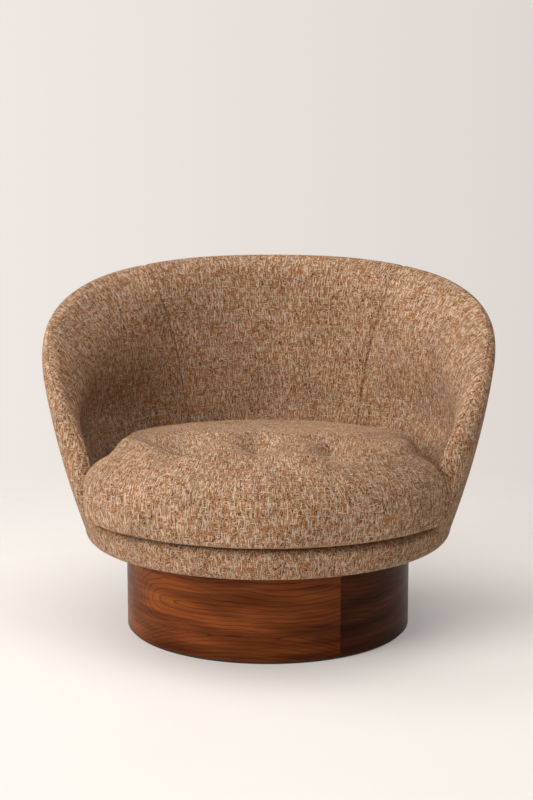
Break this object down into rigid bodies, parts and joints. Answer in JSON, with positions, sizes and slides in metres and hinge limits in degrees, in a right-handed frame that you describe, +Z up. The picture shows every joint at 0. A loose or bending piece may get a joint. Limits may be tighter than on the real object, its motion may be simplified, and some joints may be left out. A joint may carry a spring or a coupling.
{
  "type": "swivel tub armchair",
  "caption": "Upholstered tub armchair with a wrap-round back and arms and a loose tufted round-front cushion, turning without limit on a veneered drum base.",
  "frame": {"origin": "on the swivel axis, at the floor, in the middle of the base's lower face", "axes": "+Z up along the swivel axis; the seat faces -Y at rest; +X is to the right of someone who faces the chair"},
  "size_m": [0.8518, 0.7615, 0.68],
  "materials": {
    "upholstery": "coarse tan tweed with off-white, rust and dark brown flecks",
    "walnut_veneer": "reddish walnut veneer, horizontal grain, satin lacquer",
    "plywood": "raw plywood and hardwood",
    "black_foot": "black painted wood",
    "foam": "upholstery foam and wadding",
    "webbing": "black elastic webbing and cambric",
    "steel": "zinc-plated pressed steel"
  },
  "bodies": {
    "base": {"foot_board": "black_foot", "plinth_wall": "plywood", "veneer_front": "walnut_veneer", "veneer_right": "walnut_veneer", "veneer_back": "walnut_veneer", "veneer_left": "walnut_veneer", "plinth_top_panel": "plywood", "plinth_blocks": "plywood", "swivel_lower_plate": "steel", "swivel_pivot": "steel", "pivot_washer": "steel", "pivot_nut": "steel", "lower_plate_screws": "steel"},
    "ball_ring": {"ball_cage": "steel", "swivel_balls": "steel"},
    "seat": {"swivel_upper_plate": "steel", "upper_plate_bolts": "steel", "bolt_tee_nuts": "steel", "seat_board": "plywood", "seat_rail_front": "plywood", "seat_rail_right": "plywood", "seat_rail_back": "plywood", "seat_rail_left": "plywood", "rail_blocks": "plywood", "frame_ribs": "plywood", "top_rail": "plywood", "inner_liner": "plywood", "outer_liner": "plywood", "webbing_lengthwise": "webbing", "webbing_crosswise": "webbing", "deck_insulator": "foam", "deck_pad": "foam", "deck_cover": "upholstery", "inside_back_pad": "foam", "inside_arm_pad_right": "foam", "inside_arm_pad_left": "foam", "front_band_pad": "foam", "outside_back_wadding": "foam", "outside_wadding_right": "foam", "outside_wadding_left": "foam", "front_band_wadding": "foam", "inside_back_cover": "upholstery", "inside_arm_cover_right": "upholstery", "inside_arm_cover_left": "upholstery", "front_band_cover": "upholstery", "outside_cover_right": "upholstery", "outside_back_cover": "upholstery", "outside_cover_left": "upholstery", "dust_cover": "webbing", "cover_staples": "steel"},
    "cushion": {"cushion_core": "foam", "cushion_cover": "upholstery", "tuft_twines": "foam", "tuft_buttons": "webbing"}
  },
  "joints": [
    {"name": "swivel", "type": "hinge", "parent": "base", "child": "seat", "pos_m": [0, 0, 0.173], "axis": [0, 0, 1], "continuous": true},
    {"name": "ball_roll", "type": "hinge", "parent": "base", "child": "ball_ring", "pos_m": [0, 0, 0.1675], "axis": [0, 0, 1], "continuous": true},
    {"name": "cushion_lift", "type": "slide", "parent": "seat", "child": "cushion", "axis": [0, 0, 1], "range_m": [0, 0.45]}
  ],
  "couplings": [
    {"joint": "ball_roll", "follows": "swivel", "ratio": 0.5}
  ]
}
